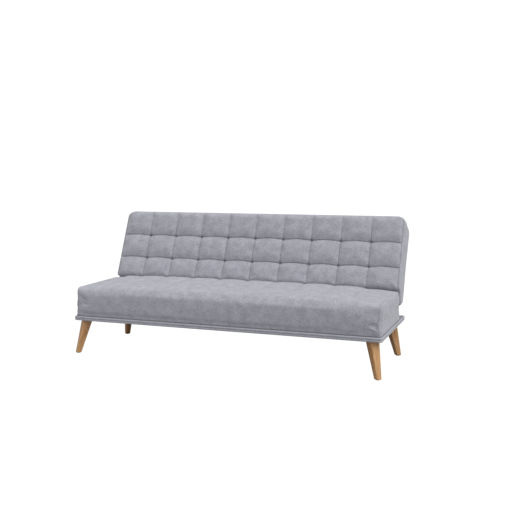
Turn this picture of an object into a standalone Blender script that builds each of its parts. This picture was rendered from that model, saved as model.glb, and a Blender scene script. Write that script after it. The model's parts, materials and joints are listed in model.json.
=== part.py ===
"""Click-clack sofa bed: a tufted seat and back on an upholstered base board with four splayed legs.

Frame: X to the right of someone facing the sofa, Y to the back, Z up, metres.
The origin is on the floor under the middle of the whole sofa.

The back leans BACK_LEAN from upright and turns about one line behind the seat. That line is as
far below the seat's top as it is behind the back's front, so that the two meet level as a bed.
"""

import math

import bmesh
import bpy
from mathutils import Matrix, Vector

# ---- gaps -------------------------------------------------------------------------------------
TOUCH = 0.0003  # between two pieces that rest on each other
FABRIC = 0.002  # thickness of the seat's and the back's covers
FOAM_GAP = 0.001  # between a cover and the foam inside it
HOLE_GAP = 0.0004  # round a bolt or a pin in its hole
NEAR = 0.001  # places this close count as the same one
CUT_OVER = 0.001  # how far a hole's cutter runs on past the piece
BOLT_OVER = 0.002  # how far a bolt or a pin runs on past what it holds

# ---- base board -------------------------------------------------------------------------------
BASE_WIDTH = 1.790
BASE_FRONT = -0.393
BASE_TAIL = 0.140  # how far it runs on behind the seat
BASE_BOTTOM = 0.190
BASE_THICK = 0.025
BASE_FABRIC = 0.0015
BASE_EDGE = 0.007
BASE_RAIL = 0.060
SIDE_BOARD = 0.122
CROSS_RAIL_X = 0.280
DUST_COVER = 0.0008

# ---- legs -------------------------------------------------------------------------------------
LEG_END_INSET = 0.058  # from the base's end to the middle of the leg's top
LEG_FRONT_INSET = 0.045  # and from its front edge
LEG_REAR_INSET = 0.135  # and from its rear edge
LEG_SPLAY = 0.039  # outwards along X, and the same along Y
LEG_TOP_WIDTH = 0.052
LEG_FOOT_WIDTH = 0.028
LEG_EDGE = 0.003
GLIDE_THICK = 0.003
GLIDE_RADIUS = 0.011
LEG_BOLT_RADIUS = 0.004
LEG_BOLT_IN_LEG = 0.030
LEG_BOLT_IN_BOARD = 0.016

# ---- seat -------------------------------------------------------------------------------------
SEAT_END_INSET = 0.007  # from the base's end
SEAT_SETBACK = 0.012  # behind the base's front edge
SEAT_DEPTH = 0.518
SEAT_THICK = 0.185
SEAT_REAR_ROUND = 0.080
SEAT_FRONT_ROUND = 0.040
SEAT_SIDE_ROUND = 0.030
FRAME_THICK = 0.022
FRAME_DEEP = 0.045
SPRING_WIRE = 0.0016
SPRING_WAVE = 0.022
SPRING_PITCH = 0.058
SEAT_SPRINGS = 4
SEAT_SPRING_STEP = 0.360

# ---- back, from its hinge line: V rearwards and U upwards in its own leaning plane -------------
BACK_LEAN = math.radians(23.56)
BACK_END_INSET = 0.002  # from the base's end
BACK_LENGTH = 0.524  # from the hinge line to the top edge
BACK_CORNER_ROUND = 0.050
BACK_EDGE_ROUND = 0.020
BACK_END_CLEAR = 0.031  # from the hinge line to the sloping lower end
BACK_HEEL_V = 0.035  # how far in from the rear face the heel is cut
BACK_HEEL_U = 0.065
BACK_SPRINGS = 4
BACK_SPRING_STEP = 0.340
PANEL_THICK = 0.003
PANEL_CLEAR = 0.004  # above the heel
FRAME_LOW_CLEAR = 0.006  # above the heel
FRAME_TOP_CLEAR = 0.009  # below the cover's inside

# ---- hinge ------------------------------------------------------------------------------------
HINGE_HEIGHT = 0.045  # above the base board
HINGE_TO_REAR = 0.025  # from the hinge line to the back's rear face
HINGE_INSET = 0.063  # from the back's end
HINGE_BEHIND = 0.041  # from the seat's rear to the hinge line
FOOT_CLEAR = 0.003  # from the seat's rear to the hinge's foot
PLATE = 0.004
PLATE_GAP = 0.0015
EAR_RADIUS = 0.013
EAR_FOOT_WIDTH = 0.036
EAR_FOOT_LENGTH = 0.100
ARM_LENGTH = 0.200
ARM_FRONT = 0.022
ARM_REAR = 0.010
ARM_SLOT_GAP = 0.004
BOLT_RADIUS = 0.004
BOLT_HEAD = 0.008
BOLT_HEAD_THICK = 0.005
NUT_THICK = 0.006
RATCHET_TIP = 0.024
RATCHET_ROOT = 0.019
NOTCH_TIP_HALF = math.radians(9.0)
NOTCH_ROOT_HALF = math.radians(4.5)
FORWARD_TRAVEL = math.radians(8.0)
PAWL_Y = -0.026  # of the pawl's pin, from the hinge line
PAWL_Z = -0.029
PAWL_BOSS = 0.005
PAWL_TIP_GAP = 0.0005
PIN_RADIUS = 0.0022
COIL_RADIUS = 0.0042
COIL_WIRE = 0.0006
COIL_TURNS = 3

# ---- what follows from the sizes --------------------------------------------------------------
BASE_TOP = BASE_BOTTOM + BASE_THICK
BASE_REAR = BASE_FRONT + SEAT_SETBACK + SEAT_DEPTH + BASE_TAIL
BOARD_LOW = BASE_BOTTOM + 2 * TOUCH + DUST_COVER + TOUCH
BOARD_HIGH = BASE_TOP - BASE_FABRIC - TOUCH
SEAT_WIDTH = BASE_WIDTH - 2 * SEAT_END_INSET
SEAT_TOP = BASE_TOP + SEAT_THICK
SEAT_BOTTOM = BASE_TOP + TOUCH
SEAT_FRONT = BASE_FRONT + SEAT_SETBACK
SEAT_REAR = SEAT_FRONT + SEAT_DEPTH
RECLINE = math.pi / 2 - BACK_LEAN
HINGE_DROP = SEAT_THICK - HINGE_HEIGHT
HINGE = Vector((0.0, SEAT_REAR + HINGE_BEHIND, SEAT_TOP - HINGE_DROP))
BACK_WIDTH = BASE_WIDTH - 2 * BACK_END_INSET
BACK_FRONT_V = -HINGE_DROP
BACK_REAR_V = HINGE_TO_REAR
BACK_THICK = BACK_REAR_V - BACK_FRONT_V
FRAME_REAR_V = BACK_REAR_V - PANEL_THICK - 5 * TOUCH
FRAME_FRONT_V = FRAME_REAR_V - FRAME_DEEP
FRAME_LOW_U = BACK_HEEL_U + FRAME_LOW_CLEAR
FRAME_HIGH_U = BACK_LENGTH - FABRIC - FRAME_TOP_CLEAR
HINGE_X = BACK_WIDTH / 2 - HINGE_INSET
ARM_IN_X = HINGE_X - PLATE / 2
ARM_OUT_X = HINGE_X + PLATE / 2


# ---- scene, collections and materials ---------------------------------------------------------
for old in list(bpy.data.objects):
    bpy.data.objects.remove(old, do_unlink=True)

PARTS = bpy.data.collections.new("sofa_bed")
CUTTERS = bpy.data.collections.new("cutters")
bpy.context.scene.collection.children.link(PARTS)
bpy.context.scene.collection.children.link(CUTTERS)
CUTTERS.hide_render = True

FINISHES = {
    "fabric": ((0.28, 0.28, 0.34), 0.95, 0.0),
    "wood": ((0.42, 0.25, 0.10), 0.45, 0.0),
    "plywood": ((0.60, 0.46, 0.30), 0.70, 0.0),
    "foam": ((0.80, 0.77, 0.62), 0.90, 0.0),
    "steel": ((0.30, 0.31, 0.32), 0.40, 1.0),
    "spring": ((0.45, 0.46, 0.47), 0.35, 1.0),
    "cambric": ((0.03, 0.03, 0.03), 0.95, 0.0),
    "nylon": ((0.10, 0.09, 0.08), 0.60, 0.0),
}


def finish(obj, name, kind):
    """Names a piece, gives it its own material and files it with the parts."""
    colour, roughness, metallic = FINISHES[kind]
    material = bpy.data.materials.new(name + "_" + kind)
    material.use_nodes = True
    shader = material.node_tree.nodes["Principled BSDF"]
    shader.inputs["Base Color"].default_value = (*colour, 1.0)
    shader.inputs["Roughness"].default_value = roughness
    shader.inputs["Metallic"].default_value = metallic
    obj.data.materials.clear()
    obj.data.materials.append(material)
    obj.name = name
    obj.data.name = name
    for collection in list(obj.users_collection):
        collection.objects.unlink(obj)
    PARTS.objects.link(obj)
    return obj


def as_cutter(obj, name):
    """Files a shape with the cutters, which aren't parts."""
    obj.name = name
    obj.hide_render = True
    obj.display_type = "WIRE"
    for collection in list(obj.users_collection):
        collection.objects.unlink(obj)
    CUTTERS.objects.link(obj)
    return obj


def cut(obj, cutter):
    """Takes the cutter's shape out of a piece."""
    boolean = obj.modifiers.new("cut_" + cutter.name, "BOOLEAN")
    boolean.operation = "DIFFERENCE"
    boolean.solver = "EXACT"
    boolean.object = cutter


def block(low, high):
    """A box from its lowest to its highest corner, in its parent's axes."""
    low = Vector(low)
    high = Vector(high)
    bpy.ops.mesh.primitive_cube_add(size=1.0, location=(low + high) / 2)
    obj = bpy.context.object
    obj.data.transform(Matrix.Diagonal((*(high - low), 1.0)))
    return obj


def rounded(obj, widths, segments):
    """Rounds the edges for which widths(a, b) gives a radius, a and b being the edge's ends."""
    mesh = bmesh.new()
    mesh.from_mesh(obj.data)
    weight = mesh.edges.layers.float.new("bevel_weight_edge")
    place = obj.location
    radii = [widths(e.verts[0].co + place, e.verts[1].co + place) for e in mesh.edges]
    largest = max(radii)
    for edge, radius in zip(mesh.edges, radii):
        edge[weight] = radius / largest
    mesh.to_mesh(obj.data)
    mesh.free()
    bevel = obj.modifiers.new("rounding", "BEVEL")
    bevel.limit_method = "WEIGHT"
    bevel.width = largest
    bevel.segments = segments
    bevel.use_clamp_overlap = False
    obj.data.shade_smooth()
    return obj


def opened(obj, direction):
    """Deletes the face that points this way, which leaves an open tray."""
    mesh = bmesh.new()
    mesh.from_mesh(obj.data)
    faces = [f for f in mesh.faces if f.normal.dot(Vector(direction)) > 0.99]
    bmesh.ops.delete(mesh, geom=faces, context="FACES")
    mesh.to_mesh(obj.data)
    mesh.free()
    return obj


def walled(obj, thickness):
    """Gives an open tray a wall, inwards."""
    wall = obj.modifiers.new("wall", "SOLIDIFY")
    wall.thickness = thickness
    wall.offset = -1.0
    wall.use_even_offset = False
    return obj


def rod(radius, start, end, sides=24):
    """A round rod between two points."""
    start = Vector(start)
    end = Vector(end)
    bpy.ops.mesh.primitive_cylinder_add(
        vertices=sides, radius=radius, depth=(end - start).length, location=(start + end) / 2
    )
    obj = bpy.context.object
    turn = Vector((0, 0, 1)).rotation_difference(end - start).to_matrix().to_4x4()
    obj.data.transform(turn)
    obj.data.shade_smooth()
    obj.data.set_sharp_from_angle(angle=math.radians(40))
    return obj


def circle(centre, radius, count=24):
    return arc(centre, radius, 0.0, 2 * math.pi * (count - 1) / count, count)


def arc(centre, radius, start, end, count):
    """Points on an arc of a (y, z) plane, the angle counted from +y towards +z."""
    angles = [start + (end - start) * i / (count - 1) for i in range(count)]
    return [(centre[0] + radius * math.cos(a), centre[1] + radius * math.sin(a)) for a in angles]


def plate(outlines, x_low, x_high):
    """A flat plate across X from (y, z) outlines: the first is its edge, the others are holes."""
    curve = bpy.data.curves.new("plate", "CURVE")
    curve.dimensions = "2D"
    curve.fill_mode = "BOTH"
    curve.extrude = (x_high - x_low) / 2
    for outline in outlines:
        spline = curve.splines.new("POLY")
        spline.points.add(len(outline) - 1)
        for point, (y, z) in zip(spline.points, outline):
            point.co = (y, z, 0.0, 1.0)
        spline.use_cyclic_u = True
    flat = bpy.data.objects.new("plate_outline", curve)
    bpy.context.scene.collection.objects.link(flat)
    bpy.context.view_layer.update()
    solid = bpy.data.meshes.new_from_object(
        flat.evaluated_get(bpy.context.evaluated_depsgraph_get())
    )
    bpy.data.objects.remove(flat, do_unlink=True)
    mesh = bmesh.new()
    mesh.from_mesh(solid)
    bmesh.ops.remove_doubles(mesh, verts=mesh.verts, dist=0.00001)
    bmesh.ops.recalc_face_normals(mesh, faces=mesh.faces)
    mesh.to_mesh(solid)
    mesh.free()
    # The curve's own x, y and z become the sofa's y, z and x.
    solid.transform(Matrix(((0, 0, 1, (x_low + x_high) / 2), (1, 0, 0, 0), (0, 1, 0, 0), (0, 0, 0, 1))))
    obj = bpy.data.objects.new("plate", solid)
    bpy.context.scene.collection.objects.link(obj)
    return obj


def wire(points, radius):
    """A bent wire through the points."""
    curve = bpy.data.curves.new("wire", "CURVE")
    curve.dimensions = "3D"
    curve.bevel_depth = radius
    curve.bevel_resolution = 1
    curve.use_fill_caps = True
    spline = curve.splines.new("POLY")
    spline.points.add(len(points) - 1)
    for point, place in zip(spline.points, points):
        point.co = (*place, 1.0)
    obj = bpy.data.objects.new("wire", curve)
    bpy.context.scene.collection.objects.link(obj)
    return obj


def empty(name, place, lean):
    """A joint's own axes: X along the joint, turned back by the lean."""
    obj = bpy.data.objects.new(name, None)
    obj.location = place
    obj.rotation_euler = (-lean, 0.0, 0.0)
    PARTS.objects.link(obj)
    return obj


# ---- base board -------------------------------------------------------------------------------
def base_cover():
    half = BASE_WIDTH / 2
    tray = block((-half, BASE_FRONT, BASE_BOTTOM), (half, BASE_REAR, BASE_TOP))
    opened(tray, (0, 0, -1))
    rounded(tray, lambda a, b: BASE_EDGE if max(a.z, b.z) > BASE_BOTTOM + NEAR else 0.0, 3)
    walled(tray, BASE_FABRIC)
    finish(tray, "base_cover", "fabric")


def base_boards():
    inset = BASE_FABRIC + 2 * TOUCH
    half = BASE_WIDTH / 2 - inset
    front = BASE_FRONT + inset
    rear = BASE_REAR - inset
    inner = half - SIDE_BOARD
    boards = {}
    for side, sign in (("left", -1), ("right", 1)):
        ends = sorted((sign * inner, sign * half))
        board = block((ends[0], front, BOARD_LOW), (ends[1], rear, BOARD_HIGH))
        rounded(board, lambda a, b: BASE_EDGE, 2)
        boards[side] = finish(board, "base_board_" + side, "plywood")
    reach = inner - TOUCH
    for name, low, high in (("front", front, front + BASE_RAIL), ("rear", rear - BASE_RAIL, rear)):
        rail = block((-reach, low, BOARD_LOW), (reach, high, BOARD_HIGH))
        rounded(rail, lambda a, b: BASE_EDGE if abs(a.x - b.x) > BASE_RAIL else 0.0, 2)
        finish(rail, "base_rail_" + name, "plywood")
    for side, sign in (("left", -1), ("right", 1)):
        x = sign * CROSS_RAIL_X
        low = (x - BASE_RAIL / 2, front + BASE_RAIL + TOUCH, BOARD_LOW)
        high = (x + BASE_RAIL / 2, rear - BASE_RAIL - TOUCH, BOARD_HIGH)
        finish(block(low, high), "base_cross_rail_" + side, "plywood")
    return boards


def dust_cover():
    inset = BASE_FABRIC + BASE_EDGE
    low = (-BASE_WIDTH / 2 + inset, BASE_FRONT + inset, BASE_BOTTOM + TOUCH)
    high = (BASE_WIDTH / 2 - inset, BASE_REAR - inset, BASE_BOTTOM + TOUCH + DUST_COVER)
    return finish(block(low, high), "base_dust_cover", "cambric")


# ---- legs -------------------------------------------------------------------------------------
def leg(name, side, end, pierced):
    """A square leg that tapers and splays to the corner. side and end are -1 or 1 on X and Y."""
    y = BASE_FRONT + LEG_FRONT_INSET if end < 0 else BASE_REAR - LEG_REAR_INSET
    top = Vector((side * (BASE_WIDTH / 2 - LEG_END_INSET), y, BASE_BOTTOM))
    foot = top + Vector((side * LEG_SPLAY, end * LEG_SPLAY, -BASE_BOTTOM))
    low = GLIDE_THICK + TOUCH
    obj = block((-0.5, -0.5, low), (0.5, 0.5, BASE_BOTTOM))
    turn = Matrix.Rotation(math.radians(45), 3, "Z")
    for vertex in obj.data.vertices:
        z = vertex.co.z + obj.location.z
        share = z / BASE_BOTTOM
        width = LEG_FOOT_WIDTH + (LEG_TOP_WIDTH - LEG_FOOT_WIDTH) * share
        spot = turn @ Vector((vertex.co.x * width, vertex.co.y * width, 0.0))
        centre = foot.lerp(top, share)
        vertex.co = Vector((centre.x + spot.x, centre.y + spot.y, z))
    obj.location = (0, 0, 0)
    rounded(obj, lambda a, b: LEG_EDGE if abs(a.z - b.z) > NEAR else 0.0, 3)
    finish(obj, "leg_" + name, "wood")

    axis = (top - foot).normalized()
    bolt_low = top - axis * LEG_BOLT_IN_LEG
    bolt_high = top + axis * LEG_BOLT_IN_BOARD
    finish(rod(LEG_BOLT_RADIUS, bolt_low, bolt_high, 16), "leg_bolt_" + name, "steel")
    run_on = axis * CUT_OVER
    hole = rod(LEG_BOLT_RADIUS + HOLE_GAP, bolt_low - run_on, bolt_high + run_on, 16)
    as_cutter(hole, "leg_bolt_hole_" + name)
    for piece in (obj, *pierced):
        cut(piece, hole)

    spot = foot.lerp(top, low / BASE_BOTTOM)
    glide = rod(GLIDE_RADIUS, (spot.x, spot.y, 0.0), (spot.x, spot.y, GLIDE_THICK), 24)
    finish(glide, "glide_" + name, "nylon")


# ---- seat -------------------------------------------------------------------------------------
def seat_round(a, b):
    """Rounds the edges round the seat's two ends, but not along its open bottom."""
    at_end = a.x * b.x > 0
    on_bottom = max(a.z, b.z) < SEAT_BOTTOM + FRAME_DEEP + FABRIC * 4
    return SEAT_SIDE_ROUND if at_end and not on_bottom else 0.0


def seat_block(inset, bottom):
    """The seat's solid, already rounded along its front and rear top edges."""
    half = SEAT_WIDTH / 2 - inset
    low = (-half, SEAT_FRONT + inset, bottom)
    high = (half, SEAT_REAR - inset, SEAT_TOP - inset)
    obj = block(low, high)
    middle_y = obj.location.y
    for at_front, radius in ((True, SEAT_FRONT_ROUND), (False, SEAT_REAR_ROUND)):
        mesh = bmesh.new()
        mesh.from_mesh(obj.data)
        edges = [
            e
            for e in mesh.edges
            if abs(e.verts[0].co.x - e.verts[1].co.x) > half
            and e.verts[0].co.z + obj.location.z > SEAT_TOP - inset - NEAR
            and abs(e.verts[0].co.y + middle_y - (low[1] if at_front else high[1])) < NEAR
        ]
        bmesh.ops.bevel(
            mesh,
            geom=edges,
            offset=radius,
            offset_type="OFFSET",
            segments=6,
            profile=0.5,
            affect="EDGES",
        )
        mesh.to_mesh(obj.data)
        mesh.free()
    return obj


def seat():
    cover = opened(seat_block(0.0, SEAT_BOTTOM), (0, 0, -1))
    walled(rounded(cover, seat_round, 4), FABRIC)
    finish(cover, "seat_cover", "fabric")

    inset = FABRIC + FOAM_GAP
    rail_top = SEAT_BOTTOM + FRAME_DEEP
    spring_z = rail_top + TOUCH + SPRING_WIRE
    foam = seat_block(inset, spring_z + SPRING_WIRE + 2 * TOUCH)
    finish(rounded(foam, seat_round, 4), "seat_foam", "foam")

    # The frame's square corners stay inside the cover's round ones.
    inset += SEAT_SIDE_ROUND * (1 - math.sqrt(0.5))
    half = SEAT_WIDTH / 2 - inset
    front = SEAT_FRONT + inset
    rear = SEAT_REAR - inset
    for side, sign in (("left", -1), ("right", 1)):
        ends = sorted((sign * (half - FRAME_THICK), sign * half))
        rail = block((ends[0], front, SEAT_BOTTOM), (ends[1], rear, rail_top))
        finish(rail, "seat_rail_" + side, "plywood")
    reach = half - FRAME_THICK - TOUCH
    for name, low, high in (("front", front, front + FRAME_THICK), ("rear", rear - FRAME_THICK, rear)):
        rail = block((-reach, low, SEAT_BOTTOM), (reach, high, rail_top))
        finish(rail, "seat_rail_" + name, "plywood")
    low = (-FRAME_THICK / 2, front + FRAME_THICK + TOUCH, SEAT_BOTTOM)
    high = (FRAME_THICK / 2, rear - FRAME_THICK - TOUCH, rail_top)
    finish(block(low, high), "seat_rail_middle", "plywood")

    start = front + FRAME_THICK / 2
    end = rear - FRAME_THICK / 2
    for number in range(SEAT_SPRINGS):
        x = (number - (SEAT_SPRINGS - 1) / 2) * SEAT_SPRING_STEP
        points = [(x + across, along, spring_z) for across, along in zigzag(start, end)]
        finish(wire(points, SPRING_WIRE), f"seat_spring_{number + 1}", "spring")


def zigzag(start, end):
    """A sinuous spring's line: (across, along) points of a wave that ends straight."""
    waves = round((end - start) / SPRING_PITCH)
    steps = 4 * waves
    points = [(0.0, start)]
    for i in range(1, steps):
        across = SPRING_WAVE * math.sin(math.pi * i / 2)
        points.append((across, start + (end - start) * i / steps))
    points.append((0.0, end))
    return points


# ---- back, modelled in the hinge's leaning axes ------------------------------------------------
def back_block(inset, rear_v):
    """The back's solid: a slab whose lower end slopes off and whose heel is cut away."""
    half = BACK_WIDTH / 2 - inset
    slab = block((-half, BACK_FRONT_V + inset, 0.0), (half, rear_v, BACK_LENGTH - inset))
    mesh = bmesh.new()
    mesh.from_mesh(slab.data)
    mesh.transform(Matrix.Translation(slab.location))
    slope = Vector((0.0, math.sin(RECLINE / 2), math.cos(RECLINE / 2)))
    heel_line = Vector((0.0, BACK_REAR_V, BACK_HEEL_U))
    heel_v = BACK_REAR_V - BACK_HEEL_V
    heel_u = (BACK_END_CLEAR - heel_v * slope.y) / slope.z
    along = (Vector((0.0, heel_v, heel_u)) - heel_line).normalized()
    heel = Vector((0.0, along.z, -along.y))
    for point, normal in ((slope * BACK_END_CLEAR, slope), (heel_line, heel)):
        bmesh.ops.bisect_plane(
            mesh,
            geom=[*mesh.verts, *mesh.edges, *mesh.faces],
            plane_co=point + normal * inset,
            plane_no=normal,
            clear_inner=True,
        )
        rim = [e for e in mesh.edges if e.is_boundary]
        bmesh.ops.contextual_create(mesh, geom=rim)
    bmesh.ops.recalc_face_normals(mesh, faces=mesh.faces)
    mesh.to_mesh(slab.data)
    mesh.free()
    slab.location = (0, 0, 0)
    return slab


def back_round(inset):
    """Rounds the back's outline corners more than its other edges."""

    def width(a, b):
        across = abs(a.x - b.x) > BACK_THICK
        along_v = abs(a.y - b.y) > BACK_THICK / 3 and abs(a.z - b.z) < NEAR
        if along_v and a.z > BACK_LENGTH - inset - NEAR:
            return BACK_CORNER_ROUND
        if across and a.z < BACK_HEEL_U + inset and a.y > BACK_FRONT_V + BACK_THICK / 3:
            return BACK_EDGE_ROUND / 2
        return BACK_EDGE_ROUND

    return width


def panel_round(a, b):
    """Rounds the rear panel's corners as the cover's rim is rounded there."""
    if abs(a.y - b.y) < PANEL_THICK / 2:
        return 0.0
    return BACK_CORNER_ROUND if a.z > BACK_LENGTH / 2 else BACK_EDGE_ROUND


def back(pivot):
    cover = opened(back_block(0.0, BACK_REAR_V), (0, 1, 0))
    rounded(cover, back_round(0.0), 4)
    walled(cover, FABRIC)
    finish(cover, "back_cover", "fabric").parent = pivot

    inset = FABRIC + FOAM_GAP
    spring_v = FRAME_FRONT_V - TOUCH - SPRING_WIRE
    foam = back_block(inset, spring_v - SPRING_WIRE - 2 * TOUCH)
    rounded(foam, back_round(inset), 4)
    finish(foam, "back_foam", "foam").parent = pivot

    half = BACK_WIDTH / 2 - inset
    panel_rear = BACK_REAR_V - TOUCH
    panel_front = panel_rear - PANEL_THICK
    panel_low = BACK_HEEL_U + PANEL_CLEAR
    panel = block((-half, panel_front, panel_low), (half, panel_rear, BACK_LENGTH - inset))
    rounded(panel, panel_round, 4)
    finish(panel, "back_panel", "fabric").parent = pivot

    inner = ARM_OUT_X + TOUCH
    for side, sign in (("left", -1), ("right", 1)):
        ends = sorted((sign * inner, sign * (inner + FRAME_THICK)))
        low = (ends[0], FRAME_FRONT_V, FRAME_LOW_U)
        high = (ends[1], FRAME_REAR_V, FRAME_HIGH_U)
        finish(block(low, high), "back_stile_" + side, "plywood").parent = pivot
    reach = ARM_IN_X - PLATE_GAP
    for name, low, high in (
        ("bottom", FRAME_LOW_U, FRAME_LOW_U + FRAME_THICK),
        ("top", FRAME_HIGH_U - FRAME_THICK, FRAME_HIGH_U),
    ):
        rail = block((-reach, FRAME_FRONT_V, low), (reach, FRAME_REAR_V, high))
        finish(rail, "back_rail_" + name, "plywood").parent = pivot
    low = (-FRAME_THICK / 2, FRAME_FRONT_V, FRAME_LOW_U + FRAME_THICK + TOUCH)
    high = (FRAME_THICK / 2, FRAME_REAR_V, FRAME_HIGH_U - FRAME_THICK - TOUCH)
    finish(block(low, high), "back_stile_middle", "plywood").parent = pivot

    start = FRAME_LOW_U + FRAME_THICK / 2
    end = FRAME_HIGH_U - FRAME_THICK / 2
    for number in range(BACK_SPRINGS):
        x = (number - (BACK_SPRINGS - 1) / 2) * BACK_SPRING_STEP
        points = [(x + across, spring_v, along) for across, along in zigzag(start, end)]
        finish(wire(points, SPRING_WIRE), f"back_spring_{number + 1}", "spring").parent = pivot
    return cover


# ---- hinges -----------------------------------------------------------------------------------
def arm_outline():
    """The arm and its notched ratchet, (v, u) from the hinge line, going round from the arm."""

    def rim(angle, radius):
        # The angle is counted from the arm's own direction, by way of its front.
        return (-radius * math.sin(angle), radius * math.cos(angle))

    start = math.acos(math.sqrt(RATCHET_TIP**2 - ARM_FRONT**2) / RATCHET_TIP)
    end = 2 * math.pi - math.asin(ARM_REAR / RATCHET_TIP)
    # Straight down from the hinge line is where the pawl's tooth waits.
    down = math.pi + BACK_LEAN
    notches = [(down - FORWARD_TRAVEL, down)]
    notches += [(down + RECLINE / 2, down + RECLINE / 2), (down + RECLINE, down + RECLINE)]
    points = [(ARM_REAR, ARM_LENGTH), (-ARM_FRONT, ARM_LENGTH), rim(start, RATCHET_TIP)]
    angle = start
    for first, last in notches:
        tooth_end = first - NOTCH_TIP_HALF
        steps = max(1, round((tooth_end - angle) / math.radians(12)))
        points += [rim(angle + (tooth_end - angle) * (i + 1) / steps, RATCHET_TIP) for i in range(steps)]
        points.append(rim(first - NOTCH_ROOT_HALF, RATCHET_ROOT))
        points.append(rim(last + NOTCH_ROOT_HALF, RATCHET_ROOT))
        angle = last + NOTCH_TIP_HALF
        points.append(rim(angle, RATCHET_TIP))
    steps = round((end - angle) / math.radians(12))
    points += [rim(angle + (end - angle) * (i + 1) / steps, RATCHET_TIP) for i in range(steps)]
    return points


def pawl_outline():
    """The pawl, (y, z) from its pin: a round boss, and a tooth under the ratchet."""
    tip_y = -PAWL_Y
    tip_z = -PAWL_Z - RATCHET_TIP - PAWL_TIP_GAP
    boss = arc((0.0, 0.0), PAWL_BOSS, math.radians(60), math.radians(300), 13)
    tooth = [
        (tip_y - 0.001, tip_z - 0.0085),
        (tip_y + 0.0024, tip_z - 0.0060),
        (tip_y + 0.0003, tip_z),
        (tip_y - 0.0003, tip_z),
        (tip_y - 0.0020, tip_z - 0.0045),
    ]
    return boss + tooth


def hinge(side, sign, pivot, pierced):
    """One side's hinge: a bracket on the base board, the back's arm, and the pawl with its spring."""
    ear_out = HINGE_X - PLATE / 2 - PLATE_GAP
    ear_in = ear_out - PLATE

    def across(inner, outer):
        return sorted((sign * inner, sign * outer))

    # The bracket: an ear with a turned-in foot that stands on the base board.
    foot_low = SEAT_BOTTOM - HINGE.z
    foot_front = SEAT_REAR + FOOT_CLEAR - HINGE.y
    ear = arc((0.0, 0.0), EAR_RADIUS, math.radians(-10), math.radians(190), 13)
    ear += [(foot_front, PAWL_Z + PAWL_BOSS), (foot_front, foot_low), (EAR_RADIUS * 2, foot_low)]
    holes = [
        circle((0.0, 0.0), BOLT_RADIUS + HOLE_GAP),
        circle((PAWL_Y, PAWL_Z), PIN_RADIUS + HOLE_GAP, 12),
    ]
    bracket = plate([ear, *holes], *across(ear_in, ear_out))
    bracket.location = (0, HINGE.y, HINGE.z)
    finish(bracket, "hinge_bracket_" + side, "steel")
    ends = across(ear_in - EAR_FOOT_WIDTH, ear_in + PLATE / 2)
    foot_start = SEAT_REAR + FOOT_CLEAR
    low = (ends[0], foot_start, SEAT_BOTTOM)
    high = (ends[1], foot_start + EAR_FOOT_LENGTH, SEAT_BOTTOM + PLATE)
    foot = block(low, high)
    as_cutter(foot, "hinge_foot_" + side)
    joined = bracket.modifiers.new("foot", "BOOLEAN")
    joined.operation = "UNION"
    joined.object = foot

    bolt_hole = circle((0.0, 0.0), BOLT_RADIUS + HOLE_GAP)
    arm = plate([arm_outline(), bolt_hole], *across(ARM_IN_X, ARM_OUT_X))
    arm.parent = pivot
    finish(arm, "hinge_arm_" + side, "steel")
    ends = across(ARM_IN_X - ARM_SLOT_GAP, ARM_OUT_X + ARM_SLOT_GAP)
    low = (ends[0], -ARM_FRONT - ARM_SLOT_GAP, 0.0)
    high = (ends[1], ARM_REAR + ARM_SLOT_GAP, FRAME_LOW_U)
    slot_cutter = block(low, high)
    slot_cutter.parent = pivot
    cut(pierced, as_cutter(slot_cutter, "arm_slot_" + side))

    # The pivot bolt's head is outside the arm, and its nut is inside the ear.
    head_in = ARM_OUT_X + TOUCH
    shank_end = ear_in - TOUCH - NUT_THICK - BOLT_OVER

    def on_hinge(x):
        return (sign * x, HINGE.y, HINGE.z)

    bolt = rod(BOLT_RADIUS, on_hinge(shank_end), on_hinge(head_in + BOLT_OVER))
    head = rod(BOLT_HEAD, on_hinge(head_in), on_hinge(head_in + BOLT_HEAD_THICK), 6)
    as_cutter(head, "pivot_bolt_head_" + side)
    joined = bolt.modifiers.new("head", "BOOLEAN")
    joined.operation = "UNION"
    joined.object = head
    finish(bolt, "pivot_bolt_" + side, "steel")
    hexagon = arc((0.0, 0.0), BOLT_HEAD, 0.0, math.radians(300), 6)
    nut = plate([hexagon, bolt_hole], *across(ear_in - TOUCH - NUT_THICK, ear_in - TOUCH))
    nut.location = (0, HINGE.y, HINGE.z)
    finish(nut, "pivot_nut_" + side, "steel")

    # The pawl turns on its own pin beside the ear, in the ratchet's plane.
    pin_y = HINGE.y + PAWL_Y
    pin_z = HINGE.z + PAWL_Z
    pawl_pivot = empty("pawl_axis_" + side, (0, pin_y, pin_z), 0.0)
    pin_hole = circle((0.0, 0.0), PIN_RADIUS + HOLE_GAP, 12)
    pawl = plate([pawl_outline(), pin_hole], *across(ARM_IN_X, ARM_OUT_X))
    pawl.parent = pawl_pivot
    finish(pawl, "pawl_" + side, "steel")
    coil_in = ARM_OUT_X + COIL_WIRE + 2 * TOUCH
    coil_out = coil_in + 2.4 * COIL_WIRE * COIL_TURNS
    pin_ends = [(sign * x, pin_y, pin_z) for x in (ear_in - BOLT_OVER, coil_out + BOLT_OVER)]
    pin = rod(PIN_RADIUS, *pin_ends, 16)
    finish(pin, "pawl_pin_" + side, "steel")

    # The torsion spring sits round the pin and stands on the base board beside the pawl.
    points = [(coil_out, -COIL_RADIUS, SEAT_BOTTOM + COIL_WIRE - pin_z)]
    steps = 12 * COIL_TURNS
    for i in range(steps + 1):
        angle = math.pi - 2 * math.pi * i / 12
        x = coil_out + (coil_in - coil_out) * i / steps
        points.append((x, COIL_RADIUS * math.cos(angle), COIL_RADIUS * math.sin(angle)))
    points = [(sign * x, pin_y + y, pin_z + z) for x, y, z in points]
    finish(wire(points, COIL_WIRE), "pawl_spring_" + side, "spring")


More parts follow.
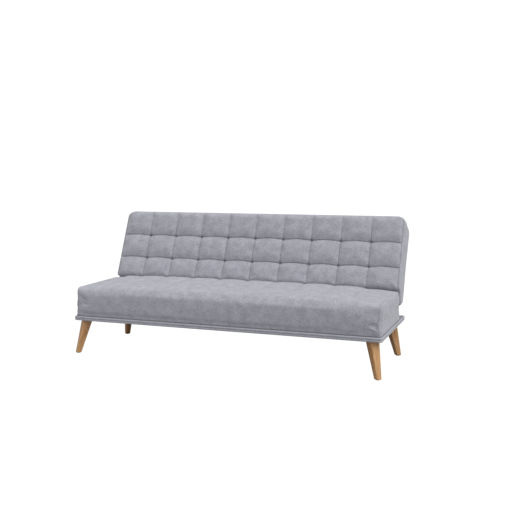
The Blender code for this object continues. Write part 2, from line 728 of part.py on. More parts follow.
# ---- the whole sofa ---------------------------------------------------------------------------
back_axes = empty("back_axis", HINGE, BACK_LEAN)
base_cover()
side_boards = base_boards()
dust = dust_cover()
for side, x_sign in (("left", -1), ("right", 1)):
    for end, y_sign in (("front", -1), ("rear", 1)):
        leg(end + "_" + side, x_sign, y_sign, (side_boards[side], dust))
seat()
backrest = back(back_axes)
for side, x_sign in (("left", -1), ("right", 1)):
    hinge(side, x_sign, back_axes, backrest)
bpy.context.view_layer.update()
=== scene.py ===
# %% [markdown]
# # A click-clack sofa bed
# The sofa is a flat base board on four splayed legs, a quilted seat, and a quilted back
# that leans, clicks and lies flat. The frame, hinges and legs come in as finished parts.
# Here each soft part is cut, wrapped and stuffed, and every surface gets its finish.

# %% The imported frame
import json
import math

import bmesh
import bpy
import numpy as np
from mathutils import Matrix, Vector


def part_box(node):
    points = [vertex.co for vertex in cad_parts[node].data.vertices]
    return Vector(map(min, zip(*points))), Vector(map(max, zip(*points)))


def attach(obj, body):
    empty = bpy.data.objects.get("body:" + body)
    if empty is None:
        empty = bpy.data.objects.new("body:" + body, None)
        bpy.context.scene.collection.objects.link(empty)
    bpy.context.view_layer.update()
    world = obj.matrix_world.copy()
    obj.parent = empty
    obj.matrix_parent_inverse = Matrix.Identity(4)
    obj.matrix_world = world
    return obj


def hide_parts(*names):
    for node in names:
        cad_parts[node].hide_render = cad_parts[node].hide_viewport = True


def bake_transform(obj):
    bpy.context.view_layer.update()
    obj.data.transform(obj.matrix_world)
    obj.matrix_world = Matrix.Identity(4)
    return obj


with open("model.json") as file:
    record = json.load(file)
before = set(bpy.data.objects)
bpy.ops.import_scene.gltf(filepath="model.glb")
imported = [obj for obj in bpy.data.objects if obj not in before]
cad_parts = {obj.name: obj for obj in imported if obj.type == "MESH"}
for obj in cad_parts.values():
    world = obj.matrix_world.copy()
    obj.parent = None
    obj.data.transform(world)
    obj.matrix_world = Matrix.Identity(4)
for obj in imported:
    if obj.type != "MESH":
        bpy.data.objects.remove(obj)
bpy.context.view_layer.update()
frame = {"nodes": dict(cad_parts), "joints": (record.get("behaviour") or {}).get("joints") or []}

NODES = frame["nodes"]
print("parts in the frame:", len(NODES))

# %% [markdown]
# ## Where things are
# Every place below is read from the frame. The back is described in its own leaning axes:
# `u` runs up the back from the hinge line and `v` runs rearwards through its thickness.

# %% Hinge line, leaning axes and the boxes of the soft parts
recline = next(j for j in frame["joints"] if j["name"] == "back_recline")
HINGE = Vector(recline["pos_m"])
LEAN = math.pi / 2 - math.radians(recline["range_deg"][1])
REARWARDS = Vector((0, math.cos(LEAN), -math.sin(LEAN)))
UPWARDS = Vector((0, math.sin(LEAN), math.cos(LEAN)))


def on_back(x, v, u):
    """A point of the leaning back, in the sofa's own axes."""
    return Vector((x, 0, 0)) + HINGE + REARWARDS * v + UPWARDS * u


def leaning_box(node):
    """A part's lowest and highest (x, v, u)."""
    spots = [v.co - HINGE for v in NODES[node].data.vertices]
    rows = np.array([(p.x, p.dot(REARWARDS), p.dot(UPWARDS)) for p in spots])
    return rows.min(0), rows.max(0)


seat_low, seat_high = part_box("seat_cover")
base_low, base_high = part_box("base_cover")
back_low, back_high = leaning_box("back_cover")
print("back, in its own axes:", back_low.round(3), back_high.round(3))

# %% [markdown]
# ## The studio
# One broad soft light shines from above and from the right. The floor and the
# surround look pure white, but they throw less light on the sofa than they show, so that
# its front and its underside stay darker than its top. The camera stands in front of the
# sofa, to its right, and looks slightly down.

# %% Floor, surround, lights and camera
CAMERA_PLACE = (1.6363, -4.1985, 1.0351)
CAMERA_TURN = math.radians(20.243)
CAMERA_TILT = math.radians(6.18)
CAMERA_LENS = 54.6

bpy.context.scene.view_settings.view_transform = "Standard"
bpy.ops.mesh.primitive_plane_add(size=60, location=(0, 0, 0))
floor = bpy.context.object
floor.name = "studio_floor"
floor_paint = bpy.data.materials.new("studio_white")
floor_paint.use_nodes = True
floor_nodes = floor_paint.node_tree.nodes
floor_nodes["Principled BSDF"].inputs["Base Color"].default_value = (0.40, 0.40, 0.40, 1)
floor_nodes["Principled BSDF"].inputs["Roughness"].default_value = 0.9
glow = floor_nodes.new("ShaderNodeEmission")
glow.inputs["Strength"].default_value = 1.05
floor_view = floor_nodes.new("ShaderNodeMixShader")
floor_links = floor_paint.node_tree.links
floor_links.new(floor_nodes.new("ShaderNodeLightPath").outputs["Is Camera Ray"], floor_view.inputs[0])
floor_links.new(floor_nodes["Principled BSDF"].outputs[0], floor_view.inputs[1])
floor_links.new(glow.outputs[0], floor_view.inputs[2])
floor_links.new(floor_view.outputs[0], floor_nodes["Material Output"].inputs["Surface"])
floor.data.materials.append(floor_paint)

world = bpy.data.worlds.new("studio_surround")
bpy.context.scene.world = world
world.use_nodes = True
surround = world.node_tree.nodes["Background"]
surround.inputs["Color"].default_value = (1.0, 1.0, 1.0, 1)
seen = world.node_tree.nodes.new("ShaderNodeLightPath").outputs["Is Camera Ray"]
strength = world.node_tree.nodes.new("ShaderNodeMapRange")
strength.inputs["To Min"].default_value = 0.66
strength.inputs["To Max"].default_value = 1.05
world.node_tree.links.new(seen, strength.inputs["Value"])
world.node_tree.links.new(strength.outputs[0], surround.inputs["Strength"])


def soft_light(name, direction, strength, softness):
    """A broad, even light from one direction."""
    bpy.ops.object.light_add(type="SUN", location=direction)
    lamp = bpy.context.object
    lamp.name = name
    lamp.data.energy = strength
    lamp.data.angle = math.radians(softness)
    lamp.rotation_euler = Vector(direction).to_track_quat("Z", "Y").to_euler()
    return lamp


soft_light("overhead_light", (0.50, -0.19, 0.84), 2.5, 60)

bpy.ops.object.camera_add(location=CAMERA_PLACE, rotation=(math.pi / 2 - CAMERA_TILT, 0, CAMERA_TURN))
camera = bpy.context.object
camera.data.lens = CAMERA_LENS
camera.data.sensor_width = 36
bpy.context.scene.camera = camera
print("camera at", CAMERA_PLACE)

# %% [markdown]
# ## Finishes
# Each effect that several finishes share is a node group, built once: the melange yarn of
# the cloth, the grain of the wood, and the dust that lies in soft blotches.


# %% A helper that builds node groups
def node_group(name, inputs, outputs):
    """A shader group with named sockets: inputs are (name, kind, default), outputs are (name, kind)."""
    group = bpy.data.node_groups.new(name, "ShaderNodeTree")
    for label, kind, default in inputs:
        socket = group.interface.new_socket(label, in_out="INPUT", socket_type="NodeSocket" + kind)
        if default is not None:
            socket.default_value = default
    for label, kind in outputs:
        group.interface.new_socket(label, in_out="OUTPUT", socket_type="NodeSocket" + kind)
    return group, group.nodes.new("NodeGroupInput"), group.nodes.new("NodeGroupOutput")


def math_node(tree, operation, *values, clamp=False):
    """A Math node, with numbers or sockets as its inputs. Returns its output."""
    node = tree.nodes.new("ShaderNodeMath")
    node.operation = operation
    node.use_clamp = clamp
    for socket, value in zip(node.inputs, values):
        if isinstance(value, (int, float)):
            socket.default_value = value
        else:
            tree.links.new(value, socket)
    return node.outputs[0]


def noise_node(tree, vector, scale, detail=2.0, roughness=0.5):
    """A noise texture on the given coordinates. Returns its factor."""
    node = tree.nodes.new("ShaderNodeTexNoise")
    tree.links.new(vector, node.inputs["Vector"])
    if isinstance(scale, (int, float)):
        node.inputs["Scale"].default_value = scale
    else:
        tree.links.new(scale, node.inputs["Scale"])
    node.inputs["Detail"].default_value = detail
    node.inputs["Roughness"].default_value = roughness
    return node.outputs["Fac"]


def ranged(tree, value, low, high):
    """The value, spread from low..high to 0..1 and kept within it."""
    node = tree.nodes.new("ShaderNodeMapRange")
    node.inputs["From Min"].default_value = low
    node.inputs["From Max"].default_value = high
    tree.links.new(value, node.inputs["Value"])
    return node.outputs[0]


def place_on(tree, kind="Object"):
    """The place of each point: on the object itself, or on its flat pattern (UV)."""
    return tree.nodes.new("ShaderNodeTexCoord").outputs[kind]


def stretched(tree, vector, scale, turn=(0, 0, 0)):
    """The coordinates, scaled and turned by a Mapping node."""
    node = tree.nodes.new("ShaderNodeMapping")
    node.inputs["Scale"].default_value = scale
    node.inputs["Rotation"].default_value = turn
    tree.links.new(vector, node.inputs["Vector"])
    return node.outputs["Vector"]


def mix_colour(tree, factor, first, second):
    """A colour Mix node, with colours or sockets as its inputs. Returns its result."""
    node = tree.nodes.new("ShaderNodeMix")
    node.data_type = "RGBA"
    for socket, value in ((node.inputs[0], factor), (node.inputs[6], first), (node.inputs[7], second)):
        if isinstance(value, (int, float)):
            socket.default_value = value
        elif isinstance(value, tuple):
            socket.default_value = (*value, 1) if len(value) == 3 else value
        else:
            tree.links.new(value, socket)
    return node.outputs[2]


# %% [markdown]
# ### Melange cloth
# The cover is a plain weave of mixed light and dark yarns, in a cool grey. Crossing sine
# waves raise the threads, each thread's own noise makes it lighter or darker, and a broad
# noise gives the soft cloudiness that such cloth has. The pattern is laid on the flat cloth
# before it is wrapped, so it bends with the cushion.

# %% Node group: melange weave
weave, enters, leaves = node_group(
    "melange_weave",
    [
        ("Cloth", "Vector", None),
        ("Threads per metre", "Float", 620.0),
        ("Light yarn", "Color", (0.42, 0.42, 0.47, 1)),
        ("Dark yarn", "Color", (0.25, 0.25, 0.29, 1)),
    ],
    [("Colour", "Color"), ("Height", "Float"), ("Fuzz", "Float")],
)
axes = weave.nodes.new("ShaderNodeSeparateXYZ")
weave.links.new(enters.outputs["Cloth"], axes.inputs[0])
pitch = math_node(weave, "MULTIPLY", enters.outputs["Threads per metre"], math.pi)
warp_wave = math_node(weave, "SINE", math_node(weave, "MULTIPLY", axes.outputs["X"], pitch))
weft_wave = math_node(weave, "SINE", math_node(weave, "MULTIPLY", axes.outputs["Y"], pitch))
crossing = math_node(weave, "MULTIPLY", warp_wave, weft_wave)
warp_yarn = noise_node(weave, stretched(weave, enters.outputs["Cloth"], (600, 45, 1)), 1.0, 3.0)
weft_yarn = noise_node(weave, stretched(weave, enters.outputs["Cloth"], (45, 600, 1)), 1.0, 3.0)
over = math_node(weave, "GREATER_THAN", crossing, 0.0)
yarn = weave.nodes.new("ShaderNodeMix")
weave.links.new(over, yarn.inputs[0])
weave.links.new(warp_yarn, yarn.inputs[2])
weave.links.new(weft_yarn, yarn.inputs[3])
flecks = noise_node(weave, enters.outputs["Cloth"], 150.0, 3.0, 0.7)
clouds = noise_node(weave, enters.outputs["Cloth"], 22.0, 2.0, 0.6)
tone = math_node(weave, "MULTIPLY", yarn.outputs[0], 0.45)
tone = math_node(weave, "MULTIPLY_ADD", flecks, 0.75, tone)
tone = math_node(weave, "MULTIPLY_ADD", clouds, 0.35, tone)
spread = ranged(weave, tone, 0.635, 0.915)
cloth_colour = mix_colour(weave, spread, enters.outputs["Dark yarn"], enters.outputs["Light yarn"])
thread = math_node(weave, "ABSOLUTE", crossing)
height = math_node(weave, "MULTIPLY_ADD", flecks, 0.6, math_node(weave, "MULTIPLY", thread, 0.7))
weave.links.new(cloth_colour, leaves.inputs["Colour"])
weave.links.new(height, leaves.inputs["Height"])
weave.links.new(spread, leaves.inputs["Fuzz"])
print("group:", weave.name)

# %% [markdown]
# ### Grain and wear
# Oiled oak legs show long dark pores and slow light bands along their length. The same
# grain, in paler colours, is used for the plywood. Dust is laid over the wood and metal.

# %% Node group: wood grain
grain, enters, leaves = node_group(
    "wood_grain",
    [
        ("Along", "Vector", None),
        ("Light", "Color", (0.54, 0.305, 0.128, 1)),
        ("Dark", "Color", (0.33, 0.155, 0.055, 1)),
        ("Fineness", "Float", 1.0),
    ],
    [("Colour", "Color"), ("Roughness", "Float"), ("Height", "Float")],
)
along, fineness = enters.outputs["Along"], enters.outputs["Fineness"]
bands = noise_node(grain, stretched(grain, along, (60, 60, 5)), fineness, 4.0, 0.6)
pores = noise_node(grain, stretched(grain, along, (900, 900, 22)), fineness, 2.0)
open_pore = ranged(grain, pores, 0.58, 0.72)
dark_band = ranged(grain, bands, 0.35, 0.65)
wood_tone = mix_colour(grain, dark_band, enters.outputs["Light"], enters.outputs["Dark"])
pore_depth = math_node(grain, "MULTIPLY", open_pore, 0.45)
wood_tone = mix_colour(grain, pore_depth, wood_tone, (0.13, 0.06, 0.025))
grain.links.new(wood_tone, leaves.inputs["Colour"])
grain.links.new(math_node(grain, "MULTIPLY_ADD", pores, 0.25, 0.34), leaves.inputs["Roughness"])
grain.links.new(math_node(grain, "MULTIPLY", open_pore, -1.0), leaves.inputs["Height"])
print("group:", grain.name)

# %% Node group: dust
dust, enters, leaves = node_group(
    "settled_dust",
    [
        ("Place", "Vector", None),
        ("Colour", "Color", None),
        ("Roughness", "Float", 0.5),
        ("Amount", "Float", 0.2),
    ],
    [("Colour", "Color"), ("Roughness", "Float")],
)
blotches = noise_node(dust, enters.outputs["Place"], 35.0, 5.0, 0.65)
amount = math_node(dust, "MULTIPLY", ranged(dust, blotches, 0.45, 0.75), enters.outputs["Amount"])
dusty_colour = mix_colour(dust, amount, enters.outputs["Colour"], (0.42, 0.40, 0.37))
dusty_rough = math_node(dust, "ADD", enters.outputs["Roughness"], amount, clamp=True)
dust.links.new(dusty_colour, leaves.inputs["Colour"])
dust.links.new(dusty_rough, leaves.inputs["Roughness"])
print("group:", dust.name)


# %% [markdown]
# The cloth comes first. It is laid by each cover's flat pattern, and a mark on the cover's
# points says where the stitches and creases are: there the cloth is pulled tight, and shade
# is painted into its colour.


# %% Finishes: cloth
def new_finish(name):
    """A material with a Principled shader. Returns the material, its tree and the shader."""
    material = bpy.data.materials.new(name)
    material.use_nodes = True
    return material, material.node_tree, material.node_tree.nodes["Principled BSDF"]


def placed(tree, group, **links):
    """A copy of a node group in a material."""
    node = tree.nodes.new("ShaderNodeGroup")
    node.node_tree = group
    for label, value in links.items():
        socket = node.inputs[label.replace("_", " ")]
        if isinstance(value, (int, float)):
            socket.default_value = value
        elif isinstance(value, tuple):
            socket.default_value = (*value, 1)
        else:
            tree.links.new(value, socket)
    return node


def bump(tree, shader, height, distance, strength=1.0):
    """A Bump node into the shader's normal."""
    node = tree.nodes.new("ShaderNodeBump")
    node.inputs["Distance"].default_value = distance
    node.inputs["Strength"].default_value = strength
    tree.links.new(height, node.inputs["Height"])
    tree.links.new(node.outputs["Normal"], shader.inputs["Normal"])


def melange_cloth():
    """The grey upholstery cloth, pulled tight along its stitch lines, which are darkened with painted
    shade.
    """
    material, tree, shader = new_finish("melange_cushion_cloth")
    cloth = placed(tree, weave, Cloth=place_on(tree, "UV"))
    seam = tree.nodes.new("ShaderNodeAttribute")
    seam.attribute_name = "seam"
    painted_seam_shade = math_node(tree, "MULTIPLY", seam.outputs["Fac"], 0.55)
    tight = math_node(tree, "MULTIPLY", seam.outputs["Fac"], 0.8)
    # Painted shade: where the seam mark is, the cloth's colour is mixed towards near black, for the shade
    # in its creases and pits.
    colour = mix_colour(tree, painted_seam_shade, cloth.outputs["Colour"], (0.10, 0.095, 0.10))
    tree.links.new(colour, shader.inputs["Base Color"])
    rough = math_node(tree, "MULTIPLY_ADD", cloth.outputs["Fuzz"], 0.08, 0.86)
    tree.links.new(rough, shader.inputs["Roughness"])
    shader.inputs["Sheen Weight"].default_value = 0.25
    shader.inputs["Sheen Roughness"].default_value = 0.5
    shader.inputs["Specular IOR Level"].default_value = 0.2
    bump(tree, shader, math_node(tree, "SUBTRACT", cloth.outputs["Height"], tight), 0.0006, 0.8)
    return material


CUSHION_CLOTH = melange_cloth()
print("cloth:", CUSHION_CLOTH.name)

# %% [markdown]
# ## Wrapping a cushion
# A real cushion's cover is a flat piece of cloth wrapped round the foam. The same is done
# here: a grid is the flat cloth, each of its rows is laid on the cushion's outline, and
# each column is one slice across the sofa. The columns and rows gather at the seams, where
# the cloth bends most.


# %% Helpers: selection in edit mode
def deselect_everything():
    for obj in bpy.context.selected_objects:
        obj.select_set(False)


def select_only(obj):
    deselect_everything()
    obj.select_set(True)
    bpy.context.view_layer.objects.active = obj


def upholstered(obj):
    """Covers an object in the cloth, in place of any other finish."""
    obj.data.materials.clear()
    obj.data.materials.append(CUSHION_CLOTH)


def apply_modifiers(obj):
    select_only(obj)
    for modifier in list(obj.modifiers):
        bpy.ops.object.modifier_apply(modifier=modifier.name)


# %% Helpers: outlines
def rounded_outline(corners, step=0.002):
    """A closed outline whose corners, given as ((a, b), radius), are rounded."""
    points = []
    for i, (corner, radius) in enumerate(corners):
        corner = Vector(corner)
        back_to = (Vector(corners[i - 1][0]) - corner).normalized()
        on_to = (Vector(corners[(i + 1) % len(corners)][0]) - corner).normalized()
        half = back_to.angle(on_to) / 2
        centre = corner + (back_to + on_to).normalized() * (radius / math.sin(half))
        first = corner + back_to * (radius / math.tan(half)) - centre
        last = corner + on_to * (radius / math.tan(half)) - centre
        sweep = first.angle_signed(last)
        steps = max(3, math.ceil(radius * abs(sweep) / step))
        for k in range(steps + 1):
            turned = Matrix.Rotation(-sweep * k / steps, 2) @ first
            points.append(centre + turned)
    return np.array([tuple(p) for p in points])


class Outline:
    """A closed outline that can be read by the length along it."""

    def __init__(self, points):
        self.points = np.vstack([points, points[:1]])
        runs = np.linalg.norm(np.diff(self.points, axis=0), axis=1)
        self.lengths = np.concatenate([[0.0], np.cumsum(runs)])
        self.total = self.lengths[-1]

    def at(self, length):
        length = np.mod(length, self.total)
        return np.stack([np.interp(length, self.lengths, self.points[:, i]) for i in (0, 1)], -1)

    def outward(self, length):
        ahead = self.at(length + 0.001) - self.at(length - 0.001)
        ahead /= np.linalg.norm(ahead, axis=-1, keepdims=True)
        return np.stack([ahead[..., 1], -ahead[..., 0]], -1)

    def length_near(self, point):
        tries = np.linspace(0, self.total, 4000, endpoint=False)
        return tries[np.argmin(np.linalg.norm(self.at(tries) - np.array(point), axis=1))]


def gathered(start, end, count, pull=0.5):
    """count places from start up to, but not at, end, closer together at both ends."""
    share = np.arange(count) / count
    return start + (end - start) * (share - pull * np.sin(2 * np.pi * share) / (2 * np.pi))


# %% [markdown]
# The last few columns at each end of the cushion turn round its edge, and the end panel is
# filled with a few rings, one inside the other, so that it can swell a little as well.


# %% Wrapping the flat cloth round an outline
END_STEPS = 4
PANEL_SHARES = (0.14, 0.18, 0.24, 0.32)


def wrapped_cover(name, outline, rows, columns, half_width, edge_radius, spine):
    """A closed cover in its own (x, a, b).

    Rows are lengths along the outline, and columns are places across the sofa.
    """
    turn = (np.arange(1, END_STEPS + 1) / END_STEPS) * math.pi / 2
    ends = [(half_width - edge_radius * (1 - math.sin(a)), edge_radius * (1 - math.cos(a))) for a in turn]
    slices = [(-x, inset) for x, inset in reversed(ends)] + [(x, 0.0) for x in columns] + ends
    deselect_everything()
    bpy.ops.mesh.primitive_grid_add(x_subdivisions=len(slices) - 1, y_subdivisions=len(rows), size=1)
    cover = bpy.context.object
    cover.name = name
    lengths = np.append(rows, rows[0] + outline.total)
    spots = np.empty((len(lengths), len(slices), 3))
    flat_uv = np.empty((len(lengths), len(slices), 2))
    for k, (x, inset) in enumerate(slices):
        spots[:, k, 0] = x
        spots[:, k, 1:] = outline.at(lengths) - outline.outward(lengths) * inset
        flat_uv[:, k, 0] = x + math.copysign(inset, x)
        flat_uv[:, k, 1] = lengths
    cover.data.vertices.foreach_set("co", spots.ravel())
    uv = cover.data.uv_layers.active or cover.data.uv_layers.new(name="UVMap")
    corner_vertex = np.empty(len(cover.data.loops), int)
    cover.data.loops.foreach_get("vertex_index", corner_vertex)
    uv.data.foreach_set("uv", flat_uv.reshape(-1, 2)[corner_vertex].ravel())
    sheet = cover.data.attributes.new("laid", "FLOAT_VECTOR", "POINT")
    on_sheet = np.zeros_like(spots)
    on_sheet[:, :, 0] = spots[:, :, 0]
    on_sheet[:, :, 1] = lengths[:, None]
    sheet.data.foreach_set("vector", on_sheet.ravel())
    close_ends(cover, half_width, spine)
    print(name, "faces:", len(cover.data.polygons))
    return cover


def close_ends(cover, half_width, spine):
    """Joins the cloth's two long edges and fills both end panels with rings of faces.

    Each ring is nearer to the spine, a line along the middle of the panel, than the last.
    """
    mesh = bmesh.new()
    mesh.from_mesh(cover.data)
    bmesh.ops.remove_doubles(mesh, verts=mesh.verts, dist=0.00005)
    uv = mesh.loops.layers.uv.active
    sheet = mesh.verts.layers.float_vector["laid"]
    low, high = (Vector(end) for end in spine)
    for side in (-1, 1):
        rim = [e for e in mesh.edges if e.is_boundary and e.verts[0].co.x * side > 0]
        made = set()
        for share in PANEL_SHARES:
            grown = bmesh.ops.extrude_edge_only(mesh, edges=rim)["geom"]
            rim = [e for e in grown if isinstance(e, bmesh.types.BMEdge) and e.is_boundary]
            made.update(f for f in grown if isinstance(f, bmesh.types.BMFace))
            for vertex in {v for e in rim for v in e.verts}:
                spot = Vector((vertex.co.y, vertex.co.z))
                along = (spot - low).dot(high - low) / (high - low).length_squared
                middle = low.lerp(high, min(max(along, 0.0), 1.0))
                spot = spot.lerp(middle, share)
                vertex.co = (side * half_width, spot.x, spot.y)
                vertex[sheet] = Vector((vertex.co.x, 0.0, 1.0))
        made.update(bmesh.ops.contextual_create(mesh, geom=rim)["faces"])
        for face in made:
            for loop in face.loops:
                loop[uv].uv = (loop.vert.co.y + 3 * side, loop.vert.co.z)
    bmesh.ops.recalc_face_normals(mesh, faces=mesh.faces)
    mesh.to_mesh(cover.data)
    mesh.free()


# %% [markdown]
# ## Quilting and stuffing
# The seams are stitched through to the foam's backing, so the cloth dips to them and swells
# between them. The dips are shaped first. Then the cover is stuffed: a cloth simulation
# blows it up gently while the seams are held, which rounds each square and puckers the
# cloth beside the stitches. No point may move further than a set distance. Last, the end
# panels are ironed and the cloth is sewn down along every seam, where shade is painted
# into its colour.


# %% Reading and moving a cover's points
def points_of(cover):
    spots = np.empty(len(cover.data.vertices) * 3)
    cover.data.vertices.foreach_get("co", spots)
    return spots.reshape(-1, 3)


def normals_of(cover):
    normals = np.empty(len(cover.data.vertices) * 3)
    cover.data.vertices.foreach_get("normal", normals)
    return normals.reshape(-1, 3)


def laid_on_sheet(cover):
    """Where each point is on the flat cloth: across, along, and 1 on an end panel."""
    rows = np.empty(len(cover.data.vertices) * 3)
    cover.data.attributes["laid"].data.foreach_get("vector", rows)
    return rows.reshape(-1, 3)


def move_points(cover, spots):
    cover.data.vertices.foreach_set("co", spots.ravel())
    cover.data.update()


def nearest(values, seams):
    """The distance from each value to the nearest seam."""
    return np.min(np.abs(values[:, None] - np.array(seams)[None, :]), axis=1)


def smooth_step(values, start, end):
    share = np.clip((values - start) / (end - start), 0, 1)
    return share * share * (3 - 2 * share)


# %% Stuffing by cloth simulation
STUFFING_FRAMES = 20


def stuff(cover, hold, pressure, slack, most_move):
    """Swells the cover with the cloth solver. hold is 1 where a seam holds the cloth."""
    before = points_of(cover)
    seams = cover.vertex_groups.new(name="held_by_seams")
    for level in range(1, 11):
        members = np.flatnonzero(np.round(hold * 10) == level)
        if len(members):
            seams.add(members.tolist(), level / 10, "REPLACE")
    cloth = cover.modifiers.new("stuffing", "CLOTH")
    cloth.settings.quality = 4
    cloth.settings.vertex_group_mass = seams.name
    cloth.settings.pin_stiffness = 1.0
    cloth.settings.use_pressure = True
    cloth.settings.uniform_pressure_force = pressure
    cloth.settings.shrink_min = -slack
    cloth.settings.tension_stiffness = 20
    cloth.settings.compression_stiffness = 20
    cloth.settings.bending_stiffness = 0.8
    cloth.settings.effector_weights.gravity = 0
    cloth.point_cache.frame_start = 1
    cloth.point_cache.frame_end = STUFFING_FRAMES
    for frame_number in range(1, STUFFING_FRAMES + 1):
        bpy.context.scene.frame_set(frame_number)
    apply_modifiers(cover)
    cover.vertex_groups.clear()
    moved = points_of(cover) - before
    far = np.linalg.norm(moved, axis=1, keepdims=True)
    limited = moved * np.minimum(1, most_move / np.maximum(far, 1e-9))
    move_points(cover, before + limited)
    bpy.context.scene.frame_set(1)
    print(cover.name, "swelled by up to", far.max().round(4), "mean", far.mean().round(4))


def made_finer(cover):
    """One level of subdivision, applied."""
    finer = cover.modifiers.new("finer", "SUBSURF")
    finer.levels = 1
    finer.render_levels = 1
    apply_modifiers(cover)


def ironed(cover, rounds=60):
    """Smooths the cloth inside both end panels, and lays the weave flat on them again."""
    mesh = bmesh.new()
    mesh.from_mesh(cover.data)
    sheet = mesh.verts.layers.float_vector["laid"]
    inner = [v for v in mesh.verts if v[sheet].z > 0.99]
    every_way = {"use_axis_x": True, "use_axis_y": True, "use_axis_z": True}
    for _ in range(rounds):
        bmesh.ops.smooth_vert(mesh, verts=inner, factor=0.5, **every_way)
    uv = mesh.loops.layers.uv.active
    for face in {f for v in inner for f in v.link_faces}:
        side = 1 if face.verts[0].co.x > 0 else -1
        for loop in face.loops:
            loop[uv].uv = (loop.vert.co.y + 3 * side, loop.vert.co.z)
    mesh.to_mesh(cover.data)
    mesh.free()


def sewn_and_shaded(cover, seam_lines):
    """Pulls the cloth in along each seam line, and paints shade into its colour there.

    Each line is (distance of every point from it, depth, half width, strength of its painted shade).
    """
    spots = points_of(cover)
    normals = normals_of(cover)
    pull = np.zeros(len(spots))
    painted_shade = np.zeros(len(spots))
    for distance, depth, half_width, strength in seam_lines:
        near = np.exp(-((distance / half_width) ** 2))
        pull = np.maximum(pull, near * depth)
        painted_shade = np.maximum(painted_shade, near * strength)
    move_points(cover, spots - normals * pull[:, None])
    # The mark is stored as the seam attribute, which the cloth's finish turns into painted shade.
    seam = cover.data.attributes.new("seam", "FLOAT", "POINT")
    seam.data.foreach_set("value", painted_shade.astype(np.float32))


def put_in_place(cover, place):
    """Moves a cover from its own axes to its place on the sofa."""
    move_points(cover, np.array([place(*spot) for spot in points_of(cover)]))
    select_only(cover)
    bpy.ops.object.mode_set(mode="EDIT")
    bpy.ops.mesh.select_all(action="SELECT")
    bpy.ops.mesh.normals_make_consistent(inside=False)
    bpy.ops.object.mode_set(mode="OBJECT")
    cover.data.shade_smooth()


# %% [markdown]
# ## The back cushion
# Ten columns and three rows of squares, with a plain panel at each end. The lower end is
# hollowed where it leans on the seat's rounded rear edge.

# %% Back cushion: outline and cloth
SQUARE = 0.1764
ROW = 0.1475
SEAM_HIGH = 0.358
BACK_HALF = back_high[0]
PANEL_HALF = BACK_HALF - 0.011
BACK_EDGE = 0.013
BACK_SPINE = ((-0.050, 0.110), (-0.058, 0.440))
back_front = back_low[1]
back_rear = back_high[1] - 0.0015
back_top = back_high[2]
back_corners = [
    ((back_rear, back_top), 0.016),
    ((back_front, back_top), 0.024),
    ((back_front, 0.088), 0.010),
    ((-0.096, 0.084), 0.050),
    ((-0.062, 0.046), 0.050),
    ((-0.044, 0.014), 0.012),
    ((back_rear, 0.050), 0.020),
]
back_outline = Outline(rounded_outline(back_corners))
lip_at = back_outline.length_near((back_front, 0.098))
low_seam_at = back_outline.length_near((back_front, SEAM_HIGH - ROW))
high_seam_at = back_outline.length_near((back_front, SEAM_HIGH))
front_top_at = back_outline.length_near((back_front + 0.007, back_top - 0.007))
rear_low_at = back_outline.length_near((back_rear, 0.075))
print("outline of the back:", round(back_outline.total, 3), "m round")


def back_rows():
    """Lengths along the outline, anticlockwise from the rear top edge."""
    return np.concatenate(
        [
            gathered(0.0, front_top_at, 14, 0.2),
            gathered(front_top_at, high_seam_at, 20),
            gathered(high_seam_at, low_seam_at, 20),
            gathered(low_seam_at, lip_at, 14),
            gathered(lip_at, rear_low_at, 18, 0.0),
            gathered(rear_low_at, back_outline.total, 12, 0.0),
        ]
    )


def seam_columns(panel_half, per_square):
    """Columns that gather at the ten squares' seams, from one side seam to the other."""
    seams = [-panel_half] + [SQUARE * k for k in range(-4, 5)] + [panel_half]
    runs = [gathered(a, b, per_square) for a, b in zip(seams, seams[1:])]
    return np.concatenate(runs + [[panel_half]])


UPRIGHT_SEAMS = [SQUARE * k for k in range(-4, 5)]
# %% [markdown]
# The dips are worked out from each point's distance to the seams, measured on the flat
# cloth. The level seams are the deepest, the upright ones are shallower and fade towards
# the top edge, and where two cross the cloth is pulled in further still.


# %% Shaping the quilted squares
def dip(distance, half_pitch, power=4):
    """1 on a seam, falling to 0 half a square away."""
    return np.clip(1 - distance / half_pitch, 0, 1) ** power


def quilt_back(cover):
    """Shapes the squares of the back. Returns how firmly each point is held."""
    spots = points_of(cover)
    normals = normals_of(cover)
    across, along, panel = laid_on_sheet(cover).T
    in_front = smooth_step(along, front_top_at - 0.004, front_top_at + 0.02)
    in_front *= 1 - smooth_step(along, lip_at, lip_at + 0.05)
    in_front *= (panel < 0.5) * (1 - smooth_step(np.abs(across), PANEL_HALF - 0.012, PANEL_HALF))
    to_upright = nearest(across, UPRIGHT_SEAMS)
    to_level = nearest(along, [high_seam_at, low_seam_at])
    fade_up = 0.35 + 0.65 * smooth_step(along, front_top_at + 0.01, high_seam_at)
    rise = 0.006
    sink = 0.0045 * fade_up * dip(to_upright, SQUARE / 2)
    sink += 0.0085 * dip(to_level, ROW / 2)
    sink += 0.005 * np.exp(-((to_upright**2 + to_level**2) / 0.012**2))
    end_swell = 0.006 * panel
    move_points(cover, spots + normals * ((rise - sink) * in_front + end_swell)[:, None])
    hold_upright = np.exp(-((to_upright / 0.007) ** 2)) * (0.35 + 0.65 * fade_up)
    hold_level = np.exp(-((to_level / 0.007) ** 2))
    hold = np.maximum(hold_upright, hold_level) * (in_front > 0.02)
    elsewhere = (in_front <= 0.02) & (panel < 0.5)
    return np.clip(np.where(elsewhere, 0.9, hold), 0, 1)


def round_top_corners(cover, radius):
    """Rounds the back's two top corners, seen from the front."""
    spots = points_of(cover)
    over_x = np.clip((np.abs(spots[:, 0]) - (BACK_HALF - radius)) / radius, 0, 1.2)
    over_u = np.clip((spots[:, 2] - (back_top - radius)) / radius, 0, 1.2)
    new_x = over_x * np.sqrt(1 - over_u**2 / 2)
    new_u = over_u * np.sqrt(1 - over_x**2 / 2)
    spots[:, 0] += np.sign(spots[:, 0]) * (new_x - over_x) * radius
    spots[:, 2] += (new_u - over_u) * radius
    move_points(cover, spots)


